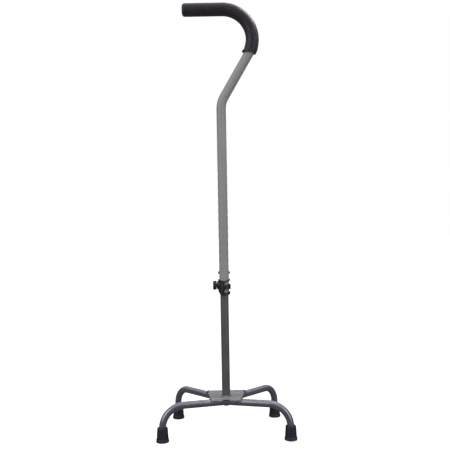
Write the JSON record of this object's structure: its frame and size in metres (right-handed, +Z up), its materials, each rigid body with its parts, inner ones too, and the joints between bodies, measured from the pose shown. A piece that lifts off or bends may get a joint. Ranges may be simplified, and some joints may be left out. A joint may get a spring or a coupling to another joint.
{
  "type": "quad walking cane",
  "caption": "Height-adjustable walking cane with an offset foam handle on a wide low base of bent tube legs with rubber tips.",
  "frame": {"origin": "on the floor, at the centre of the four feet's footprint; the shaft's axis stands 35.5 mm in front of it (towards -Y)", "axes": "+Z up along the shaft; the handle points towards -X; -Y is the side of the wider pair of feet"},
  "size_m": [0.3147, 0.2096, 0.9983],
  "materials": {
    "silver_grey_tube": "satin",
    "dark_grey_tube": "satin",
    "blue_grey_paint": "gloss",
    "plate_paint": "satin",
    "black_foam": "matte",
    "black_rubber": "matte",
    "black_plastic": "satin",
    "knob_plastic": "satin",
    "pale_nylon": "matte",
    "zinc_steel": "satin",
    "spring_steel": "satin",
    "button_steel": "satin"
  },
  "bodies": {
    "base": {"lower_tube": "dark_grey_tube", "lower_tube_top_bush": "black_plastic", "lower_tube_bottom_plug": "black_plastic", "snap_spring": "spring_steel", "front_leg_tube": "blue_grey_paint", "rear_leg_tube": "blue_grey_paint", "base_plate": "plate_paint", "shaft_weld": "blue_grey_paint", "plate_welds": "blue_grey_paint", "front_left_tip": "black_rubber", "front_left_tip_washer": "zinc_steel", "front_right_tip": "black_rubber", "front_right_tip_washer": "zinc_steel", "rear_left_tip": "black_rubber", "rear_left_tip_washer": "zinc_steel", "rear_right_tip": "black_rubber", "rear_right_tip_washer": "zinc_steel"},
    "upper_shaft": {"upper_tube": "silver_grey_tube", "handle_grip": "black_foam", "handle_end_plug": "black_plastic", "locking_collar": "black_plastic", "collar_nut": "zinc_steel"},
    "clamp_pad": {"pressure_pad": "pale_nylon"},
    "clamp_knob": {"thumb_knob": "knob_plastic", "thumbscrew_stud": "zinc_steel"},
    "left_button": {"snap_button_left": "button_steel"},
    "right_button": {"snap_button_right": "button_steel"}
  },
  "joints": [
    {"name": "height_slide", "type": "slide", "parent": "base", "child": "upper_shaft", "axis": [0, 0, 1], "range_m": [-0.2286, 0]},
    {"name": "pad_slide", "type": "slide", "parent": "upper_shaft", "child": "clamp_pad", "axis": [-1, 0, 0], "range_m": [0, 0.002]},
    {"name": "knob_turn", "type": "hinge", "parent": "clamp_pad", "child": "clamp_knob", "pos_m": [-0.021, -0.0355, 0.342], "axis": [-1, 0, 0], "range_deg": [0, 720]},
    {"name": "button_left_press", "type": "slide", "parent": "base", "child": "left_button", "axis": [1, 0, 0], "range_m": [0, 0.0046], "stiffness_N_per_m": 2000, "springref_m": -0.004, "deforming": ["snap_spring"]},
    {"name": "button_right_press", "type": "slide", "parent": "base", "child": "right_button", "axis": [-1, 0, 0], "range_m": [0, 0.0046], "stiffness_N_per_m": 2000, "springref_m": -0.004, "deforming": ["snap_spring"]}
  ],
  "couplings": [
    {"joint": "pad_slide", "follows": "knob_turn", "m_per_rad": 0.00015915}
  ]
}
